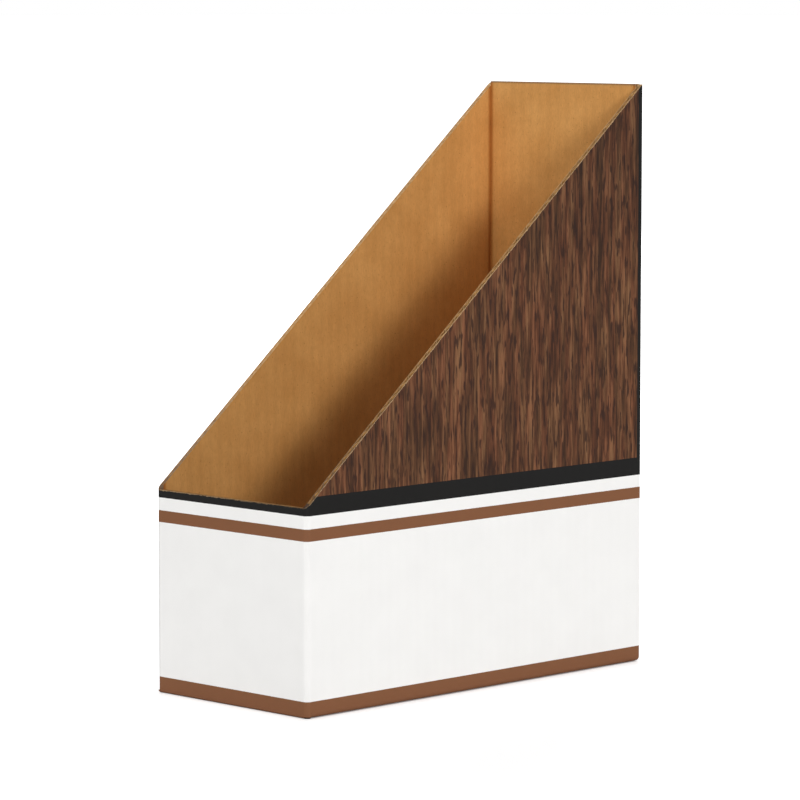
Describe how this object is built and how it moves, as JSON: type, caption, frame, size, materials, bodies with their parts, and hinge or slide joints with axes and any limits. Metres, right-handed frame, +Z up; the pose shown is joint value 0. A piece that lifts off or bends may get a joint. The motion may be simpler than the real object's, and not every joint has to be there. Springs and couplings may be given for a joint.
{
  "type": "magazine file holder",
  "caption": "Open corrugated board holder for magazines and files, with a low front, a high back, sloping sides and a fold-flat sleeve.",
  "frame": {"origin": "on the floor, under the middle of the holder", "axes": "+Z up along the height, -Y towards the low front, +X towards the right side"},
  "size_m": [0.107, 0.238, 0.298],
  "materials": {
    "printed_board": "matt woodgrain and white print outside, bare kraft inside",
    "white_board": "matt white print with brown stripes outside, bare kraft inside",
    "kraft_board": "bare kraft liner"
  },
  "bodies": {
    "right_side": {"right_side_wall": "printed_board", "glue_tab": "kraft_board"},
    "back": {"back_wall": "printed_board"},
    "left_side": {"left_side_wall": "printed_board"},
    "front": {"front_wall": "white_board"},
    "base": {"base_panel": "kraft_board"},
    "tuck": {"tuck_flap": "kraft_board"},
    "front_dust": {"front_dust_flap": "kraft_board"},
    "rear_dust": {"rear_dust_flap": "kraft_board"}
  },
  "joints": [
    {"name": "fold_flat", "type": "hinge", "parent": "base", "child": "right_side", "pos_m": [0.0535, 0, 0], "axis": [0, 1, 0], "range_deg": [0, 88]},
    {"name": "rear_crease", "type": "hinge", "parent": "right_side", "child": "back", "pos_m": [0.0535, 0.119, 0], "axis": [0, 0, -1], "range_deg": [0, 88]},
    {"name": "front_crease", "type": "hinge", "parent": "right_side", "child": "front", "pos_m": [0.051, -0.1165, 0], "axis": [0, 0, -1], "range_deg": [0, 88]},
    {"name": "left_crease", "type": "hinge", "parent": "back", "child": "left_side", "pos_m": [-0.051, 0.1165, 0], "axis": [0, 0, 1], "range_deg": [0, 88]},
    {"name": "tuck_crease", "type": "hinge", "parent": "base", "child": "tuck", "pos_m": [-0.0476, 0, 0], "axis": [0, -1, 0], "range_deg": [0, 88]},
    {"name": "front_dust_crease", "type": "hinge", "parent": "front", "child": "front_dust", "pos_m": [0, -0.119, 0.0025], "axis": [-1, 0, 0], "range_deg": [0, 88]},
    {"name": "rear_dust_crease", "type": "hinge", "parent": "back", "child": "rear_dust", "pos_m": [0, 0.119, 0.0025], "axis": [1, 0, 0], "range_deg": [0, 88]}
  ],
  "couplings": [
    {"joint": "rear_crease", "follows": "fold_flat", "ratio": 1},
    {"joint": "front_crease", "follows": "fold_flat", "ratio": 1},
    {"joint": "left_crease", "follows": "fold_flat", "ratio": 1},
    {"joint": "tuck_crease", "follows": "fold_flat", "ratio": 1},
    {"joint": "front_dust_crease", "follows": "fold_flat", "ratio": 1},
    {"joint": "rear_dust_crease", "follows": "fold_flat", "ratio": 1}
  ]
}
